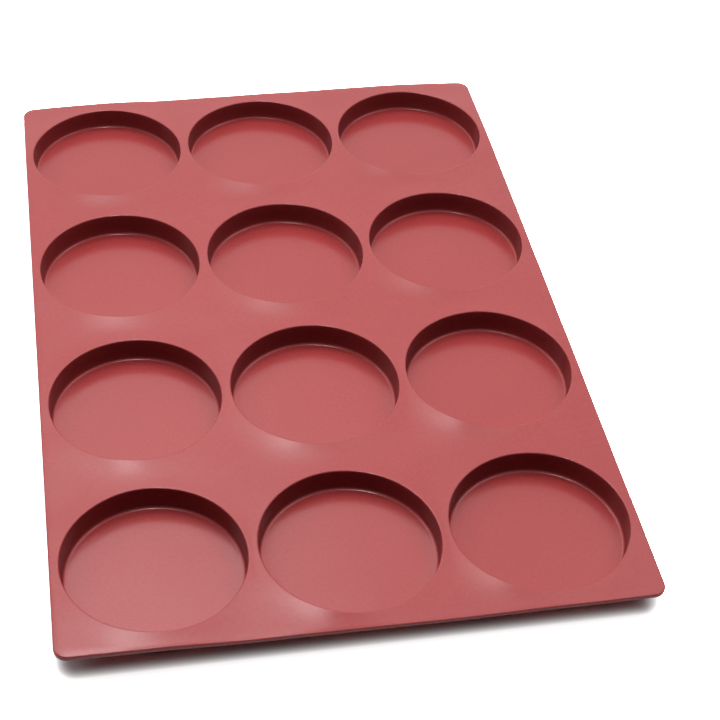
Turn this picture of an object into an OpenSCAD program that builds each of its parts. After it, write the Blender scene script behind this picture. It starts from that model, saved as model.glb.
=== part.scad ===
// Silicone baking mould: a sheet with a grid of shallow round wells, moulded in one piece.
// Millimetres. X runs across the sheet, Y along it, Z up. The origin is the middle of the
// plane that the well bottoms stand on.

/* [Well pattern] */
// Wells across the sheet
cols = 3; // [1:1:4]
// Wells along the sheet
rows = 4; // [1:1:6]
// Width of sheet between two wells across, at their rims
gap_x = 7.4; // [6:0.1:40]
// Width of sheet between two wells along, at their rims
gap_y = 26.4; // [6:0.1:60]

/* [Sheet] */
// Width of sheet between the outer wells and the long edges
margin_x = 6.6; // [5:0.1:40]
// Width of sheet between the outer wells and the short edges
margin_y = 12.4; // [5:0.1:40]
// Thickness of the sheet
sheet_t = 3.5; // [2.5:0.1:6]
// Radius of the sheet's corners, seen from above
corner_r = 9; // [4:0.5:20]
// Rounding along the sheet's upper and lower edges
edge_r = 0.9; // [0.2:0.1:1.2]

/* [Well] */
// Diameter of a well, where its wall meets the top of the sheet
well_d = 124; // [40:1:160]
// Depth of a well, from the top of the sheet to its floor
well_depth = 18; // [10:0.5:60]
// Lean of the wall outwards, in degrees from upright
wall_draft = 4; // [0.5:0.5:12]
// Rounding of the rim
rim_r = 1; // [0.3:0.1:2]
// Fillet between the wall and the floor, inside
floor_r = 2; // [0.5:0.1:5]

/* [Underside] */
// Thickness of a well's wall, square to its surface
wall_t = 2.4; // [1.5:0.1:3]
// Thickness of a well's floor
floor_t = 2.5; // [1.5:0.1:5]
// Rounding around the bottom of a well, outside
base_r = 4.2; // [0.5:0.1:5]
// Fillet between a well's outside and the underside of the sheet
root_r = 1.2; // [0.3:0.1:2]

/* [Hidden] */
$fn = 96;

pitch_x = well_d + gap_x;
pitch_y = well_d + gap_y;
sheet_w = cols * well_d + (cols - 1) * gap_x + 2 * margin_x;
sheet_l = rows * well_d + (rows - 1) * gap_y + 2 * margin_y;
top_z = well_depth + floor_t;
under_z = top_z - sheet_t;

// A well's wall as two parallel slanted lines, by their radius at the top of the sheet
inside_r = well_d / 2;
outside_r = inside_r + wall_t / cos(wall_draft);

// Small overlap, where one shape is cut from another or runs into it
overlap = 1;

// Middles of the wells
well_places = [
    for (col = [0 : cols - 1])
        for (row = [0 : rows - 1])
            [(col - (cols - 1) / 2) * pitch_x, (row - (rows - 1) / 2) * pitch_y]
];

// Radius of a slanted line at a height, from its radius at the top of the sheet
function line_r(r_at_top, z) = r_at_top - (top_z - z) * tan(wall_draft);

// What lies between a corner of the section and the arc that rounds it. The corner is where a
// slanted line meets a level line at plane_z. The arc's centre is above the level line if up
// is 1 and below if it is -1, and outside the slanted line if out is 1 and inside if it is -1.
module corner_sliver(r_at_top, plane_z, radius, up, out) {
    centre_z = plane_z + up * radius;
    centre = [line_r(r_at_top, centre_z) + out * radius / cos(wall_draft), centre_z];
    on_level = [centre.x, plane_z];
    on_slant = centre - out * radius * [cos(wall_draft), -sin(wall_draft)];
    corner = [line_r(r_at_top, plane_z), plane_z];
    difference() {
        polygon([centre, on_level, corner, on_slant]);
        translate(centre)
            circle(r = radius);
    }
}

// Section between the axis and a slanted line, from one height to another
module slanted_section(r_at_top, z_low, z_high) {
    polygon([
        [0, z_low],
        [line_r(r_at_top, z_low), z_low],
        [line_r(r_at_top, z_high), z_high],
        [0, z_high]
    ]);
}

// Half section of the space inside a well: flat floor, fillet, leaning wall and rounded rim
module well_section() {
    difference() {
        slanted_section(inside_r, floor_t, top_z + overlap);
        corner_sliver(inside_r, floor_t, floor_r, 1, -1);
    }
    corner_sliver(inside_r, top_z, rim_r, -1, 1);
}

// Half section of a well's outside, solid, up to the middle of the sheet
module cup_section() {
    difference() {
        slanted_section(outside_r, 0, under_z + sheet_t / 2);
        corner_sliver(outside_r, 0, base_r, 1, -1);
    }
    corner_sliver(outside_r, under_z, root_r, -1, 1);
}

// Section of a bar as thick as the sheet, with its four edges rounded
module rounded_section(width) {
    translate([-width / 2 + edge_r, 0])
        square([width - 2 * edge_r, sheet_t]);
    translate([-width / 2, edge_r])
        square([width, sheet_t - 2 * edge_r]);
    for (side = [-1, 1])
        for (z = [edge_r, sheet_t - edge_r])
            translate([side * (width / 2 - edge_r), z])
                circle(r = edge_r, $fn = 32);
}

// A quarter of a disc with the same rounded edge, for one corner of the sheet
module corner_quarter() {
    rotate_extrude(angle = 90)
        intersection() {
            rounded_section(2 * corner_r);
            square([corner_r + overlap, sheet_t]);
        }
}

// The flat sheet, with no wells: two crossed bars and four corners
module sheet() {
    straight_w = sheet_w - 2 * corner_r;
    straight_l = sheet_l - 2 * corner_r;
    translate([0, 0, under_z]) {
        rotate([90, 0, 90])
            linear_extrude(height = straight_w, center = true)
                rounded_section(sheet_l);
        rotate([90, 0, 0])
            linear_extrude(height = straight_l, center = true)
                rounded_section(sheet_w);
        translate([straight_w / 2, straight_l / 2, 0])
            corner_quarter();
        translate([-straight_w / 2, straight_l / 2, 0])
            rotate([0, 0, 90])
                corner_quarter();
        translate([-straight_w / 2, -straight_l / 2, 0])
            rotate([0, 0, 180])
                corner_quarter();
        translate([straight_w / 2, -straight_l / 2, 0])
            rotate([0, 0, 270])
                corner_quarter();
    }
}

// The moulding: the sheet, a cup hanging under it at each place, and the wells
module baking_mould() {
    color([0.72, 0.35, 0.35])
        difference() {
            union() {
                sheet();
                for (place = well_places)
                    translate(place)
                        rotate_extrude()
                            cup_section();
            }
            for (place = well_places)
                translate(place)
                    rotate_extrude()
                        well_section();
        }
}

baking_mould();
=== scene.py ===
"""Looks of the silicone baking mould: one sheet with twelve round wells, made by Geometry Nodes."""
import math

import bpy
import numpy as np
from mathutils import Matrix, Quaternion, Vector


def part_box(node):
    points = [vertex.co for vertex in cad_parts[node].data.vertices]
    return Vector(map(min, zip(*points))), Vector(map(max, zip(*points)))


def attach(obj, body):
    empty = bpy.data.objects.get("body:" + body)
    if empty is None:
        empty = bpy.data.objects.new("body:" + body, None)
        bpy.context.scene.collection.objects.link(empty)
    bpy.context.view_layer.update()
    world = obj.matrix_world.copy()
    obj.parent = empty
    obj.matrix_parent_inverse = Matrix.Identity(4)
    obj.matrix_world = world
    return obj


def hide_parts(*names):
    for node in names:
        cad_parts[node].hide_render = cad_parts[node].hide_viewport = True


MM = 0.001

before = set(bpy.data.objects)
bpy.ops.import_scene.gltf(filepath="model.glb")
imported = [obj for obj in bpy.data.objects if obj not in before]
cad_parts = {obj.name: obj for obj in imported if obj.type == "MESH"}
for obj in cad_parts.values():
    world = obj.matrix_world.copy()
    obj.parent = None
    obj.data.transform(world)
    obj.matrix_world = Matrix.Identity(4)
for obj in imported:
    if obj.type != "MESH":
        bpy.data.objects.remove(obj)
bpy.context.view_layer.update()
low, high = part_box("baking_mould")

# Sizes of the moulding, in millimetres and degrees, as the construction has them
SHEET_WIDTH = (high.x - low.x) / MM
SHEET_LENGTH = (high.y - low.y) / MM
TOP = high.z / MM
COLUMNS = 3
ROWS = 4
GAP_ACROSS = 7.4
GAP_ALONG = 26.4
MARGIN_ACROSS = 6.6
SHEET_THICKNESS = 3.5
CORNER_RADIUS = 9.0
EDGE_RADIUS = 0.9
WELL_DEPTH = 18.0
WALL_DRAFT = 4.0
RIM_RADIUS = 1.0
FLOOR_RADIUS = 2.0
WALL_THICKNESS = 2.4
BASE_RADIUS = 4.2
ROOT_RADIUS = 1.2
WELL_DIAMETER = (SHEET_WIDTH - (COLUMNS - 1) * GAP_ACROSS - 2 * MARGIN_ACROSS) / COLUMNS
MARGIN_ALONG = (SHEET_LENGTH - ROWS * WELL_DIAMETER - (ROWS - 1) * GAP_ALONG) / 2

# Making of the mesh. From a well's collar outwards its rings turn from circles into the outline of
# its share of the sheet, and a power above 1 keeps the inner ones rounder.
DRAW_OUT_POWER = 1.5
MERGE_DISTANCE = 0.02
TOLERANCE = 0.001
NEARLY_ALL = 0.999

# Bends of the soft sheet, in millimetres and degrees. Between the wells it sinks, with a slope at
# the rims that levels off within the reach. Each rim bulges at its front, a little more in the
# rows further back, and the middle of the bulge turns a little from column to column. The powers
# say how sharply a reach ends.
SAG_SLOPE = 0.03
SAG_REACH = 14.0
SAG_POWER = 3.0
BULGE = 1.8
BULGE_GROWTH = 0.02
BULGE_REACH = 16.0
BULGE_POWER = 4
BULGE_MIDDLE = -113.0
BULGE_TURN = 12.0
BULGE_WIDTH = 30.0
SMALLEST_DISTANCE = 0.0001

# Broad bends: where the middle is (x, y), how high it rises, and how far it reaches (x, y)
BENDS = [
    (-200, -300, 3.2, 90, 90),
    (60, -230, -2.2, 110, 110),
    (0, 300, -1.6, 1000, 60),
    (-210, 310, -3.0, 45, 60),
    (205, 305, -1.5, 30, 50),
    (110, 300, 0.7, 50, 60),
    (-66, 300, -0.8, 40, 40),
]

# Shallow waves: length, the way they run in degrees, and phase in radians. Each is as steep as the
# slope says, and the floors of the wells have only a share of them.
WAVES = [
    (61, 12, 0.4),
    (83, 74, 2.1),
    (47, 131, 4.0),
    (70, 158, 1.3),
    (38, 95, 5.2),
]
WAVE_SLOPE = 0.008
FLOOR_WAVES = 0.3

# Silicone: colours, and a satin finish with clouds, speckles, a fine grain and specks of dust
BASE_COLOUR = (0.435, 0.046, 0.048, 1.0)
PALE_COLOUR = (0.530, 0.066, 0.068, 1.0)
DUST_COLOUR = (0.60, 0.22, 0.21, 1.0)
ROUGHNESS = 0.22
ROUGHNESS_RANGE = 0.06
REFRACTION = 1.40
CLOUD_SCALE = 9.0
CLOUD_SHARE = 0.5
SPECKLE_SCALE = 420.0
GRAIN_SCALE = 900.0
GRAIN_HEIGHT = 0.02
GRAIN_STRENGTH = 0.35
DUST_SCALE = 60.0
DUST_SIZE = 0.02
DUST_COVER = 0.7
NOISE_MIDDLE = 0.5

# Softboxes: name, radiance, angular radius, tilt from straight above, direction (0 is right and 90
# is the back), distance from the aim in metres, and beam, which is the angle from the lamp's axis
# where its light ends. The angles are in degrees.
LAMPS = [
    ("top_softbox", 170.0, 2.3, 5, 100, 4.0, 25),
    ("middle_softbox", 8.5, 7, 23, 97, 4.0, 25),
    ("upper_softbox", 2.4, 12, 28, 95, 3.0, 30),
    ("wide_softbox", 1.6, 17, 33, 93, 2.0, 30),
    ("back_softbox", 1.1, 33, 58, 85, 6.0, 90),
    ("left_softbox", 2.2, 16, 50, 150, 1.5, 30),
    ("right_softbox", 3.6, 18, 33, 24, 2.0, 30),
]
AIM = Vector((-0.06, -0.06, 0.0))
WIDE_BEAM = 90

# Surround: how strongly it lights the object, and how bright it is in its reflections
AMBIENT = 0.03
BACKDROP = 0.6

# Floor, in metres. Outside the sheet it has a glow that only lights the object, and a shine that
# only the object's reflections show. The camera sees it with a gain, which grows away from the
# sheet, and with a glow that comes up in the gap under the sheet's edge and is white far off.
FLOOR_HALF = 3.0
FLOOR_DROP = 0.0002
FLOOR_GLOW = 0.10
GLOW_REACH = 0.03
FLOOR_SHINE = 0.9
SHINE_START = 0.004
FLOOR_GAIN = 3.2
GAIN_REACH = 0.006
GAP_GLOW = 0.9
GAP_REACH = 0.014
GAP_POWER = 3.6
FAR_REACH = 0.5


class Value:
    """A number worked out by nodes. Arithmetic on it adds the nodes that it needs."""

    def __init__(self, graph, socket):
        self.graph = graph
        self.socket = socket

    def __add__(self, other):
        return self.graph.math("ADD", self, other)

    def __radd__(self, other):
        return self.graph.math("ADD", other, self)

    def __sub__(self, other):
        return self.graph.math("SUBTRACT", self, other)

    def __rsub__(self, other):
        return self.graph.math("SUBTRACT", other, self)

    def __mul__(self, other):
        return self.graph.math("MULTIPLY", self, other)

    def __rmul__(self, other):
        return self.graph.math("MULTIPLY", other, self)

    def __truediv__(self, other):
        return self.graph.math("DIVIDE", self, other)

    def __gt__(self, other):
        return self.graph.math("GREATER_THAN", self, other)

    def __lt__(self, other):
        return self.graph.math("LESS_THAN", self, other)

    def __pow__(self, other):
        return self.graph.math("POWER", self, other)


class Graph:
    """A node tree that is written as formulas, for geometry and for materials."""

    def __init__(self, tree):
        self.tree = tree

    def feed(self, socket, value):
        """Puts a value into an input: a link from other nodes, or a constant."""
        if isinstance(value, Value):
            self.tree.links.new(value.socket, socket)
        else:
            socket.default_value = value

    def node(self, kind, inputs=None, **settings):
        """Adds a node, with its settings and with what goes into its inputs."""
        made = self.tree.nodes.new(kind)
        for name, value in settings.items():
            setattr(made, name, value)
        for name, value in (inputs or {}).items():
            self.feed(made.inputs[name], value)
        return made

    def value(self, kind, inputs=None, output=0, **settings):
        """Adds a node and gives one of its outputs."""
        return Value(self, self.node(kind, inputs, **settings).outputs[output])

    def math(self, operation, *values):
        made = self.node("ShaderNodeMath", operation=operation)
        for socket, value in zip(made.inputs, values):
            self.feed(socket, value)
        return Value(self, made.outputs[0])

    def smallest(self, first, second):
        return self.math("MINIMUM", first, second)

    def largest(self, first, second):
        return self.math("MAXIMUM", first, second)

    def between(self, value, lowest, highest):
        return self.smallest(self.largest(value, lowest), highest)

    def blend(self, first, second, share):
        return first + (second - first) * share

    def tan(self, degrees):
        return self.math("TANGENT", degrees * (math.pi / 180))

    def cos(self, degrees):
        return self.math("COSINE", degrees * (math.pi / 180))

    def vector(self, x, y, z):
        return self.value("ShaderNodeCombineXYZ", {0: x, 1: y, 2: z})

    def parts(self, vector):
        """The x, y and z of a vector."""
        made = self.node("ShaderNodeSeparateXYZ", {0: vector})
        return [Value(self, socket) for socket in made.outputs]

    def length(self, x, y):
        """Length of a flat vector."""
        return self.math("SQRT", x * x + y * y)

    def choose(self, index, data_type, choices):
        """One of several values, by its number."""
        made = self.node("GeometryNodeIndexSwitch", data_type=data_type)
        while len(made.index_switch_items) < len(choices):
            made.index_switch_items.new()
        self.feed(made.inputs["Index"], index)
        for number, choice in enumerate(choices):
            self.feed(made.inputs[number + 1], choice)
        return Value(self, made.outputs[0])

    def capture(self, geometry, **values):
        """Keeps numbers on the points of a geometry. Gives the geometry and the kept numbers."""
        made = self.node("GeometryNodeCaptureAttribute", {"Geometry": geometry})
        for name, value in values.items():
            made.capture_items.new("FLOAT", name)
            self.feed(made.inputs[name], value)
        kept = [Value(self, made.outputs[name]) for name in values]
        return Value(self, made.outputs["Geometry"]), kept


# Inputs of the moulding's tree
SIZES = {
    "Gap across": GAP_ACROSS,
    "Gap along": GAP_ALONG,
    "Margin across": MARGIN_ACROSS,
    "Margin along": MARGIN_ALONG,
    "Sheet thickness": SHEET_THICKNESS,
    "Corner radius": CORNER_RADIUS,
    "Edge radius": EDGE_RADIUS,
    "Well diameter": WELL_DIAMETER,
    "Well depth": WELL_DEPTH,
    "Wall draft": WALL_DRAFT,
    "Rim radius": RIM_RADIUS,
    "Floor radius": FLOOR_RADIUS,
    "Wall thickness": WALL_THICKNESS,
    "Base radius": BASE_RADIUS,
    "Root radius": ROOT_RADIUS,
    "Top": TOP,
}
COUNTS = {
    "Columns": COLUMNS,
    "Rows": ROWS,
    "Steps per side": 36,
    "Steps round a corner": 4,
    "Steps per rounding": 5,
}


def section_curve(graph, size):
    """Half section of one well with its share of the sheet, from the floor's middle, up and over
    the rim, round the sheet's edge and back below to the middle. Gives the curve and the edge."""
    lean = graph.tan(size["Wall draft"])
    inside = size["Well diameter"] / 2
    outside = inside + size["Wall thickness"] / graph.cos(size["Wall draft"])
    edge = inside + size["Margin across"]
    top = size["Top"]
    under = top - size["Sheet thickness"]
    floor = top - size["Well depth"]
    corners = [
        graph.vector(0.0, 0.0, floor),
        graph.vector(inside - size["Well depth"] * lean, 0.0, floor),
        graph.vector(inside, 0.0, top),
        graph.vector(edge, 0.0, top),
        graph.vector(edge, 0.0, under),
        graph.vector(outside - size["Sheet thickness"] * lean, 0.0, under),
        graph.vector(outside - top * lean, 0.0, 0.0),
        (0.0, 0.0, 0.0),
    ]
    radii = [
        0.0,
        size["Floor radius"],
        size["Rim radius"],
        size["Edge radius"],
        size["Edge radius"],
        size["Root radius"],
        size["Base radius"],
        0.0,
    ]
    cuts_after_corner = [6, 2, 9, 1, 4, 2, 3, 0]

    # A line takes its corners, their roundings, and then the cuts of the straight stretches
    index = graph.value("GeometryNodeInputIndex")
    line = graph.value("GeometryNodeCurvePrimitiveLine")
    line = graph.value("GeometryNodeResampleCurve", {"Curve": line, "Count": len(corners)}, mode="COUNT")
    line = graph.value(
        "GeometryNodeSetPosition",
        {"Geometry": line, "Position": graph.choose(index, "VECTOR", corners)},
    )
    line, (corner,) = graph.capture(line, corner=index)
    line = graph.value(
        "GeometryNodeFilletCurve",
        {
            "Curve": line,
            "Count": size["Steps per rounding"],
            "Radius": graph.choose(index, "FLOAT", radii),
            "Limit Radius": True,
        },
        mode="POLY",
    )
    next_corner = graph.value(
        "GeometryNodeFieldAtIndex", {"Index": index + 1, "Value": corner}, domain="POINT"
    )
    ends_rounding = next_corner > corner + 0.5
    cuts = graph.choose(corner, "INT", cuts_after_corner) * ends_rounding
    line = graph.value("GeometryNodeSubdivideCurve", {"Curve": line, "Cuts": cuts})
    return line, edge


def tiles(graph, size, rings, steps):
    """A flat grid of points for each well. Gives the mesh and, for each point, its ring and its
    step round the well, and the well's column and row."""
    def numbered_grid(columns, rows, names):
        grid = graph.value(
            "GeometryNodeMeshGrid",
            {
                "Size X": columns - 1,
                "Size Y": rows - 1,
                "Vertices X": columns,
                "Vertices Y": rows,
            },
        )
        x, y, _ = graph.parts(graph.value("GeometryNodeInputPosition"))
        numbers = (x + (columns - 1) / 2, y + (rows - 1) / 2)
        return graph.capture(grid, **dict(zip(names, numbers)))

    patch, (ring, step) = numbered_grid(rings, steps + 1, ("ring", "step"))
    places, (column, row) = numbered_grid(size["Columns"], size["Rows"], ("column", "row"))
    mesh = graph.value("GeometryNodeInstanceOnPoints", {"Points": places, "Instance": patch})
    mesh = graph.value("GeometryNodeRealizeInstances", {"Geometry": mesh})
    return mesh, ring, step, column, row


def reach(number, count, diameter, gap, margin):
    """Along one axis, a well's middle and where its share of the sheet begins and ends."""
    pitch = diameter + gap
    middle = (number - (count - 1) / 2) * pitch
    outer = margin - gap / 2
    is_first = number < 0.5
    is_last = number > count - 1.5
    start = middle - pitch / 2 - outer * is_first
    end = middle + pitch / 2 + outer * is_last
    return middle, start, end


def spacing(graph, number, steps, corner_steps, length, corner):
    """Distance along a side of a well's share after a number of steps. The steps next to both of
    its ends are short enough for a rounded corner of the sheet."""
    short = corner / corner_steps
    long = (length - 2 * corner) / (steps - 2 * corner_steps)
    near = graph.smallest(number, corner_steps)
    middle = graph.between(number - corner_steps, 0.0, steps - 2 * corner_steps)
    far = graph.largest(number - (steps - corner_steps), 0.0)
    return (near + far) * short + middle * long


def share_outline(graph, size, step, across, along):
    """Where the outline of a well's share of the sheet is after a number of steps round it. Across
    and along give the share's beginning and end on each axis."""
    left, right = across
    front, back = along
    steps = size["Steps per side"]
    corner_steps = size["Steps round a corner"]
    side = graph.math("FLOOR", (step + 0.5) / steps)
    number = step - side * steps
    along_x = spacing(graph, number, steps, corner_steps, right - left, size["Corner radius"])
    along_y = spacing(graph, number, steps, corner_steps, back - front, size["Corner radius"])
    outline = graph.choose(
        graph.math("MODULO", side, 4),
        "VECTOR",
        [
            graph.vector(left + along_x, front, 0.0),
            graph.vector(right, front + along_y, 0.0),
            graph.vector(right - along_x, back, 0.0),
            graph.vector(left, back - along_y, 0.0),
        ],
    )
    x, y, _ = graph.parts(outline)
    return x, y


def sheet_edge(graph, size, x, y, inset):
    """Draws a point of a share's outline in to the sheet's rounded corners and, on the edge itself,
    by the inset too. Gives the point, and whether it is on the edge."""
    columns, rows, diameter = size["Columns"], size["Rows"], size["Well diameter"]
    half_x = (columns * diameter + (columns - 1) * size["Gap across"]) / 2 + size["Margin across"]
    half_y = (rows * diameter + (rows - 1) * size["Gap along"]) / 2 + size["Margin along"]
    corner = size["Corner radius"]
    corner_x = graph.between(x, corner - half_x, half_x - corner)
    corner_y = graph.between(y, corner - half_y, half_y - corner)
    out_x = x - corner_x
    out_y = y - corner_y
    out = graph.length(out_x, out_y)
    on_edge = out > corner * NEARLY_ALL
    shrink = (graph.smallest(out, corner) - inset * on_edge) / graph.largest(out, TOLERANCE)
    return corner_x + out_x * shrink, corner_y + out_y * shrink, on_edge


def moulding_tree(material):
    """Geometry nodes of the moulding. Its section runs round each well, and between the wells it
    is drawn out to the next well's share or to the edge of the sheet."""
    tree = bpy.data.node_groups.new("moulding", "GeometryNodeTree")
    graph = Graph(tree)
    kinds = [(SIZES, "NodeSocketFloat"), (COUNTS, "NodeSocketInt")]
    for names, kind in kinds:
        for name in names:
            tree.interface.new_socket(name, in_out="INPUT", socket_type=kind)
    tree.interface.new_socket("Geometry", in_out="OUTPUT", socket_type="NodeSocketGeometry")
    group = graph.node("NodeGroupInput")
    size = {name: Value(graph, group.outputs[name]) for names, _ in kinds for name in names}

    section, edge = section_curve(graph, size)
    rings = graph.value(
        "GeometryNodeAttributeDomainSize", {"Geometry": section}, component="CURVE"
    )
    mesh, ring, step, column, row = tiles(graph, size, rings, size["Steps per side"] * 4)
    section_point = graph.value(
        "GeometryNodeSampleIndex",
        {
            "Geometry": section,
            "Value": graph.value("GeometryNodeInputPosition"),
            "Index": ring,
        },
        data_type="FLOAT_VECTOR",
        domain="POINT",
    )
    radius, _, height = graph.parts(section_point)

    diameter = size["Well diameter"]
    edge_radius = size["Edge radius"]
    middle_x, left, right = reach(
        column, size["Columns"], diameter, size["Gap across"], size["Margin across"]
    )
    middle_y, front, back = reach(
        row, size["Rows"], diameter, size["Gap along"], size["Margin along"]
    )
    outline_x, outline_y = share_outline(graph, size, step, (left, right), (front, back))
    inset = graph.smallest(edge_radius, edge - radius)
    end_x, end_y, on_edge = sheet_edge(graph, size, outline_x, outline_y, inset)

    away_x = outline_x - middle_x
    away_y = outline_y - middle_y
    collar = diameter / 2 + size["Wall thickness"] + size["Root radius"]
    drawn_out = graph.between((radius - collar) / (edge - edge_radius - collar), 0.0, 1.0)
    share = drawn_out ** DRAW_OUT_POWER
    on_circle = graph.smallest(radius, collar) / graph.length(away_x, away_y)
    place = graph.vector(
        graph.blend(middle_x + away_x * on_circle, end_x, share) * MM,
        graph.blend(middle_y + away_y * on_circle, end_y, share) * MM,
        height * MM,
    )

    # Between two wells the rings of the edge's rounding have no use, and their faces go
    in_band = radius > edge - edge_radius - TOLERANCE
    mesh, (on_edge, in_band) = graph.capture(mesh, on_edge=on_edge, in_band=in_band)
    mesh = graph.value("GeometryNodeSetPosition", {"Geometry": mesh, "Position": place})
    mesh = graph.value(
        "GeometryNodeDeleteGeometry",
        {"Geometry": mesh, "Selection": (in_band > NEARLY_ALL) * (on_edge < NEARLY_ALL)},
        domain="FACE",
    )
    mesh = graph.value(
        "GeometryNodeMergeByDistance", {"Geometry": mesh, "Distance": MERGE_DISTANCE * MM}
    )
    mesh = graph.value("GeometryNodeSetShadeSmooth", {"Geometry": mesh, "Shade Smooth": True})
    mesh = graph.value("GeometryNodeRealizeInstances", {"Geometry": mesh})
    mesh = graph.value("GeometryNodeSetMaterial", {"Geometry": mesh, "Material": material})
    output = graph.node("NodeGroupOutput", is_active_output=True)
    graph.feed(output.inputs["Geometry"], mesh)
    return tree


def build_moulding(material):
    """Runs the tree once and keeps its result as a plain mesh."""
    seed = bpy.data.objects.new("seed", bpy.data.meshes.new("seed"))
    bpy.context.scene.collection.objects.link(seed)
    modifier = seed.modifiers.new("moulding", "NODES")
    modifier.node_group = moulding_tree(material)
    identifiers = {
        item.name: item.identifier
        for item in modifier.node_group.interface.items_tree
        if item.item_type == "SOCKET" and item.in_out == "INPUT"
    }
    for name, value in {**SIZES, **COUNTS}.items():
        modifier[identifiers[name]] = value
    depsgraph = bpy.context.evaluated_depsgraph_get()
    mesh = bpy.data.meshes.new_from_object(seed.evaluated_get(depsgraph))
    bpy.data.objects.remove(seed)
    mesh.name = "silicone_moulding"
    moulding = bpy.data.objects.new("silicone_moulding", mesh)
    bpy.context.scene.collection.objects.link(moulding)
    return moulding


def sag_and_bulge(points):
    """How far the sheet sinks between the wells and bulges at the front of each rim."""
    nearness = np.full(len(points), SAG_REACH ** -SAG_POWER)
    rise = np.zeros(len(points))
    for column in range(COLUMNS):
        for row in range(ROWS):
            from_middle = column - (COLUMNS - 1) / 2
            across = points[:, 0] - from_middle * (WELL_DIAMETER + GAP_ACROSS)
            along = points[:, 1] - (row - (ROWS - 1) / 2) * (WELL_DIAMETER + GAP_ALONG)
            away = np.hypot(across, along) - WELL_DIAMETER / 2
            away = np.maximum(away, SMALLEST_DISTANCE)
            nearness += away ** -SAG_POWER
            turn = np.degrees(np.arctan2(along, across)) - BULGE_MIDDLE + BULGE_TURN * from_middle
            turn = (turn + 180) % 360 - 180
            levelled = (away ** BULGE_POWER + BULGE_REACH ** BULGE_POWER) ** (1 / BULGE_POWER)
            fade = 1 - away / levelled
            height = BULGE * (1 + BULGE_GROWTH * row)
            rise += height * fade * np.exp(-(turn / BULGE_WIDTH) ** 2)
    return rise - SAG_SLOPE * nearness ** (-1 / SAG_POWER)


def broad_bends(points):
    """How far the broad bends lift the sheet."""
    rise = np.zeros(len(points))
    for x, y, height, across, along in BENDS:
        apart = ((points[:, 0] - x) / across) ** 2 + ((points[:, 1] - y) / along) ** 2
        rise += height * np.exp(-apart)
    return rise


def shallow_waves(points):
    """Height of the waves that keep the silicone from looking perfectly flat."""
    wave = np.zeros(len(points))
    for length, direction, phase in WAVES:
        direction = math.radians(direction)
        run = points[:, 0] * math.cos(direction) + points[:, 1] * math.sin(direction)
        turns = 2 * math.pi / length
        wave += WAVE_SLOPE / turns * np.sin(turns * run + phase)
    return wave


def bend(moulding):
    """Bends the moulding like the soft sheet that it is. Most of it moves only above the floors of
    the wells. They have a share of the waves, and what rests on the ground stays flat."""
    mesh = moulding.data
    points = np.zeros(len(mesh.vertices) * 3)
    mesh.vertices.foreach_get("co", points)
    points = points.reshape(-1, 3) / MM
    rise = sag_and_bulge(points) + broad_bends(points)
    wave = shallow_waves(points)
    floor_height = TOP - WELL_DEPTH
    freedom = np.clip((points[:, 2] - floor_height) / WELL_DEPTH, 0, 1)
    off_ground = np.clip(points[:, 2] / floor_height, 0, 1)
    points[:, 2] += (rise + wave) * freedom + FLOOR_WAVES * wave * off_ground * (1 - freedom)
    mesh.vertices.foreach_set("co", (points * MM).ravel())
    mesh.update()


def silicone():
    """Satin silicone in a dusty terracotta red, with a fine grain and a little dust on it."""
    material = bpy.data.materials.new("terracotta_silicone")
    material.use_nodes = True
    graph = Graph(material.node_tree)
    shader = material.node_tree.nodes["Principled BSDF"]
    place = graph.value("ShaderNodeTexCoord", output="Object")

    def noise(scale, detail):
        return graph.value(
            "ShaderNodeTexNoise", {"Vector": place, "Scale": scale, "Detail": detail}, output="Fac"
        )

    def mix(factor, first, second):
        return graph.value(
            "ShaderNodeMix",
            {"Factor": factor, "A": first, "B": second},
            output="Result",
            data_type="RGBA",
        )

    cloud = noise(CLOUD_SCALE, 3.0)
    grain = noise(GRAIN_SCALE, 2.0)
    speckle = noise(SPECKLE_SCALE, 3.0)
    paleness = cloud * CLOUD_SHARE + speckle - CLOUD_SHARE * NOISE_MIDDLE
    shade = mix(paleness, BASE_COLOUR, PALE_COLOUR)
    nearest = graph.value(
        "ShaderNodeTexVoronoi", {"Vector": place, "Scale": DUST_SCALE}, output="Distance"
    )
    shade = mix((nearest < DUST_SIZE) * DUST_COVER, shade, DUST_COLOUR)
    bump = graph.value(
        "ShaderNodeBump",
        {"Height": grain, "Distance": GRAIN_HEIGHT * MM, "Strength": GRAIN_STRENGTH},
        output="Normal",
    )
    graph.feed(shader.inputs["Base Color"], shade)
    graph.feed(shader.inputs["Roughness"], ROUGHNESS + (cloud - NOISE_MIDDLE) * ROUGHNESS_RANGE)
    graph.feed(shader.inputs["Normal"], bump)
    graph.feed(shader.inputs["IOR"], REFRACTION)
    return material


def place_camera():
    """The photo's viewpoint, worked out from the rims and floors of the wells. The photo is framed
    a little off centre, which is the lens's shift."""
    eye = Vector((-0.16492, -0.93395, high.z + 0.85188))
    aim = Vector((0.03074, -0.04143, high.z))
    roll = math.radians(3.6069)
    data = bpy.data.cameras.new("camera")
    data.lens = 83.001
    data.sensor_width = 36.0
    data.shift_x = 0.0162
    data.shift_y = -0.0171
    camera = bpy.data.objects.new("camera", data)
    bpy.context.scene.collection.objects.link(camera)
    camera.location = eye
    camera.rotation_mode = "QUATERNION"
    camera.rotation_quaternion = (aim - eye).to_track_quat("-Z", "Y") @ Quaternion((0, 0, 1), roll)
    bpy.context.scene.camera = camera


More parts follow.
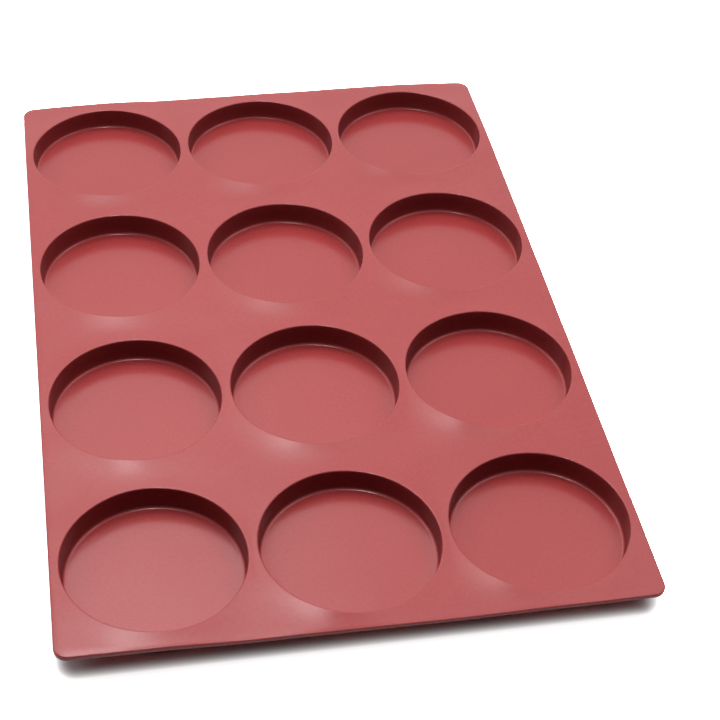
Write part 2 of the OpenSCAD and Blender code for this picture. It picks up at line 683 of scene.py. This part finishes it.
def lamp(name, radiance, spread, tilt, direction, distance, beam):
    """A round softbox that faces the aim. Its spread is its angular radius. Past the beam's angle
    from its axis it gives no light, and along the axis it is as bright as the radiance says."""
    radius = distance * math.tan(math.radians(spread))
    data = bpy.data.lights.new(name, "AREA")
    data.shape = "DISK"
    data.size = 2 * radius
    data.energy = radiance * math.pi * math.pi * radius ** 2
    if beam < WIDE_BEAM:
        half = math.radians(beam)
        data.spread = 2 * half
        data.energy *= 1 - half / math.tan(half)
    data.cycles.max_bounces = 0
    made = bpy.data.objects.new(name, data)
    bpy.context.scene.collection.objects.link(made)
    tilt = math.radians(tilt)
    direction = math.radians(direction)
    across = math.sin(tilt) * math.cos(direction)
    along = math.sin(tilt) * math.sin(direction)
    towards = Vector((across, along, math.cos(tilt)))
    made.location = AIM + towards * distance
    made.rotation_mode = "QUATERNION"
    made.rotation_quaternion = towards.to_track_quat("Z", "Y")


def light_scene():
    """The softboxes, and a surround that is white to the camera, paler than white in reflections
    and weak as a light."""
    for values in LAMPS:
        lamp(*values)
    world = bpy.data.worlds.new("world")
    bpy.context.scene.world = world
    world.use_nodes = True
    graph = Graph(world.node_tree)
    background = world.node_tree.nodes["Background"]
    path = graph.node("ShaderNodeLightPath")
    seen = graph.largest(
        Value(graph, path.outputs["Is Camera Ray"]),
        Value(graph, path.outputs["Is Transmission Ray"]),
    )
    glossy = Value(graph, path.outputs["Is Glossy Ray"])
    strength = AMBIENT + seen * (1 - AMBIENT) + glossy * (BACKDROP - AMBIENT)
    graph.feed(background.inputs["Strength"], strength)
    background.inputs["Color"].default_value = (1, 1, 1, 1)


def white_floor():
    """White to the camera, and darker to the object, so that it sends little light back to it. It
    keeps the object's shadow."""
    material = bpy.data.materials.new("white_floor")
    material.use_nodes = True
    material.cycles.emission_sampling = "NONE"
    graph = Graph(material.node_tree)
    material.node_tree.nodes.remove(material.node_tree.nodes["Principled BSDF"])
    path = graph.node("ShaderNodeLightPath")
    seen = Value(graph, path.outputs["Is Camera Ray"])
    mirrored = graph.largest(
        Value(graph, path.outputs["Is Glossy Ray"]),
        Value(graph, path.outputs["Is Transmission Ray"]),
    )
    x, y, _ = graph.parts(graph.value("ShaderNodeTexCoord", output="Object"))

    def away_from_sheet(inset):
        """Distance from the sheet's outline, drawn in by the inset, and 0 within it."""
        across = graph.largest(graph.math("ABSOLUTE", x) - (SHEET_WIDTH / 2 * MM - inset), 0.0)
        along = graph.largest(graph.math("ABSOLUTE", y) - (SHEET_LENGTH / 2 * MM - inset), 0.0)
        return graph.length(across, along)

    apart = away_from_sheet(0.0)
    outside = graph.smallest(apart / GLOW_REACH, 1.0)
    matt_glow = FLOOR_GLOW * outside * (1 - mirrored)
    shine = FLOOR_SHINE * mirrored * (apart > SHINE_START)
    under_edge = graph.smallest(away_from_sheet(GAP_REACH) / GAP_REACH, 1.0)
    near_glow = graph.blend(GAP_GLOW, 1.0, graph.smallest(apart / FAR_REACH, 1.0))
    glow = (matt_glow + shine) * (1 - seen) + near_glow * under_edge ** GAP_POWER * seen
    white = 1 + seen * (FLOOR_GAIN - 1) * graph.smallest(apart / GAIN_REACH, 1.0)
    diffuse = graph.value("ShaderNodeBsdfDiffuse", {"Color": white})
    light = graph.value("ShaderNodeEmission", {"Strength": glow})
    both = graph.value("ShaderNodeAddShader", {0: diffuse, 1: light})
    graph.feed(material.node_tree.nodes["Material Output"].inputs["Surface"], both)
    return material


def floor():
    """The floor that the object rests on."""
    ends = (-FLOOR_HALF, FLOOR_HALF)
    corners = [(x, y, -FLOOR_DROP) for y in ends for x in ends]
    mesh = bpy.data.meshes.new("floor")
    mesh.from_pydata(corners, [], [(0, 1, 3, 2)])
    mesh.materials.append(white_floor())
    made = bpy.data.objects.new("floor", mesh)
    bpy.context.scene.collection.objects.link(made)


moulding = build_moulding(silicone())
bend(moulding)
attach(moulding, "root")
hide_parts("baking_mould")
place_camera()
light_scene()
floor()
bpy.context.scene.view_settings.view_transform = "Standard"
